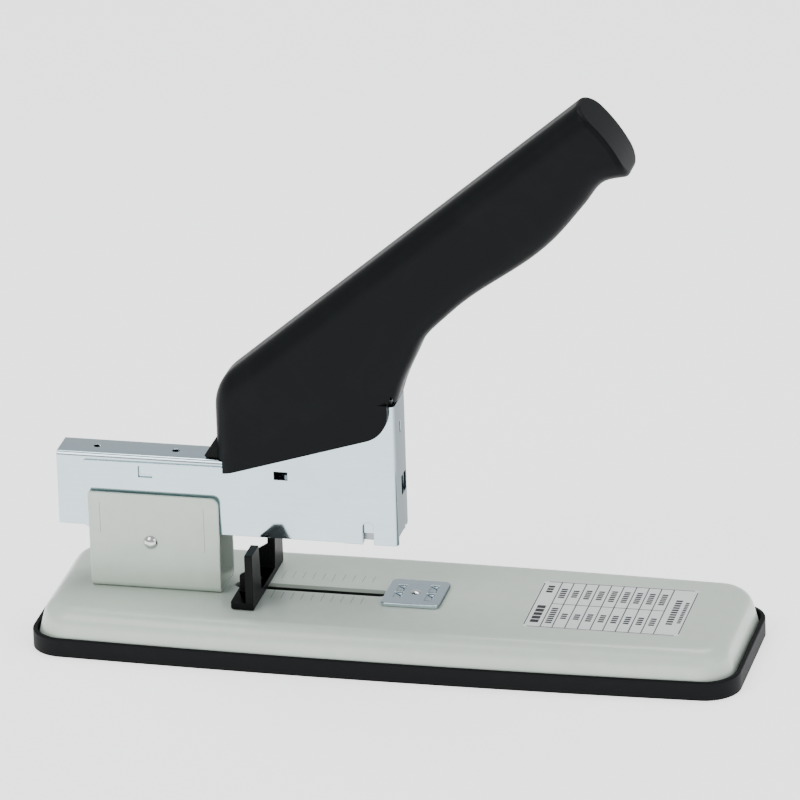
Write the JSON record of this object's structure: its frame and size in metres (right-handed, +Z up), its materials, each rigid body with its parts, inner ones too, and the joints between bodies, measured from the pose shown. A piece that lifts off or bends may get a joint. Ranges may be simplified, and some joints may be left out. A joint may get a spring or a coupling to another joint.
{
  "type": "heavy duty desk stapler",
  "caption": "Long-arm lever desk stapler with a swinging head, drive lever, pull-out staple rail, sliding paper guide and turning anvil on a flat base.",
  "frame": {"origin": "centre of the base's footprint, on the table", "axes": "+X to the front (anvil and label end), +Y to the stapler's left side, +Z up"},
  "size_m": [0.285, 0.083, 0.2308],
  "materials": {
    "painted_shell": "satin enamel",
    "black_tray": "matte",
    "zinc_steel": "zinc plated, satin",
    "nickel_steel": "bright nickel",
    "raw_steel": "satin",
    "dark_steel": "blued",
    "black_gloss": "semi-gloss moulded",
    "black_satin": "satin moulded",
    "label": "printed film"
  },
  "bodies": {
    "base": {"base_shell": "painted_shell", "base_tray": "black_tray", "tray_screws": "raw_steel", "base_stiffener": "raw_steel", "label_plate": "label", "stand_bracket": "painted_shell", "stand_rivets": "raw_steel", "pivot_pin": "nickel_steel", "lift_spring": "dark_steel", "anvil_rivet": "nickel_steel"},
    "head": {"head_frame": "zinc_steel", "magazine_channel": "zinc_steel", "rail_stop": "raw_steel", "handle_axle": "raw_steel", "pivot_bush": "raw_steel", "return_spring": "dark_steel"},
    "driver": {"driver_blade": "raw_steel", "driver_carrier": "raw_steel"},
    "rail": {"staple_rail": "zinc_steel", "rail_cap": "zinc_steel", "pusher_rod": "raw_steel"},
    "pusher": {"pusher": "raw_steel", "pusher_spring": "dark_steel"},
    "handle": {"handle_cover": "black_gloss", "handle_arm": "zinc_steel", "link_pin": "raw_steel", "axle_sleeve": "raw_steel", "handle_stop": "black_satin", "arm_rivets": "raw_steel"},
    "guide": {"paper_guide": "black_satin", "guide_screw": "nickel_steel", "guide_clamp": "raw_steel"},
    "anvil": {"anvil_plate": "zinc_steel"}
  },
  "joints": [
    {"name": "head_pivot", "type": "hinge", "parent": "base", "child": "head", "pos_m": [-0.097, 0, 0.0394], "axis": [0, 1, 0], "range_deg": [0, 12], "stiffness_Nm_per_rad": 2, "springref_deg": -28.65, "deforming": ["lift_spring"]},
    {"name": "handle_pivot", "type": "hinge", "parent": "head", "child": "handle", "pos_m": [-0.058, 0, 0.086], "axis": [0, 1, 0], "range_deg": [0, 29], "stiffness_Nm_per_rad": 0.8, "springref_deg": -22.92, "deforming": ["return_spring"]},
    {"name": "driver_slide", "type": "slide", "parent": "head", "child": "driver", "axis": [0, 0, -1], "range_m": [0, 0.02754]},
    {"name": "rail_pull", "type": "slide", "parent": "head", "child": "rail", "axis": [-1, 0, 0], "range_m": [0, 0.06]},
    {"name": "pusher_slide", "type": "slide", "parent": "rail", "child": "pusher", "axis": [-1, 0, 0], "range_m": [0, 0.095], "stiffness_N_per_m": 20, "springref_m": -0.05, "deforming": ["pusher_spring"]},
    {"name": "guide_slide", "type": "slide", "parent": "base", "child": "guide", "axis": [1, 0, 0], "range_m": [-0.0035, 0.044]},
    {"name": "anvil_turn", "type": "hinge", "parent": "base", "child": "anvil", "pos_m": [0.00735, 0, 0.0195], "axis": [0, 0, 1], "range_deg": [0, 180]}
  ],
  "couplings": [
    {"joint": "driver_slide", "follows": "handle_pivot", "m_per_rad": 0.054388}
  ]
}
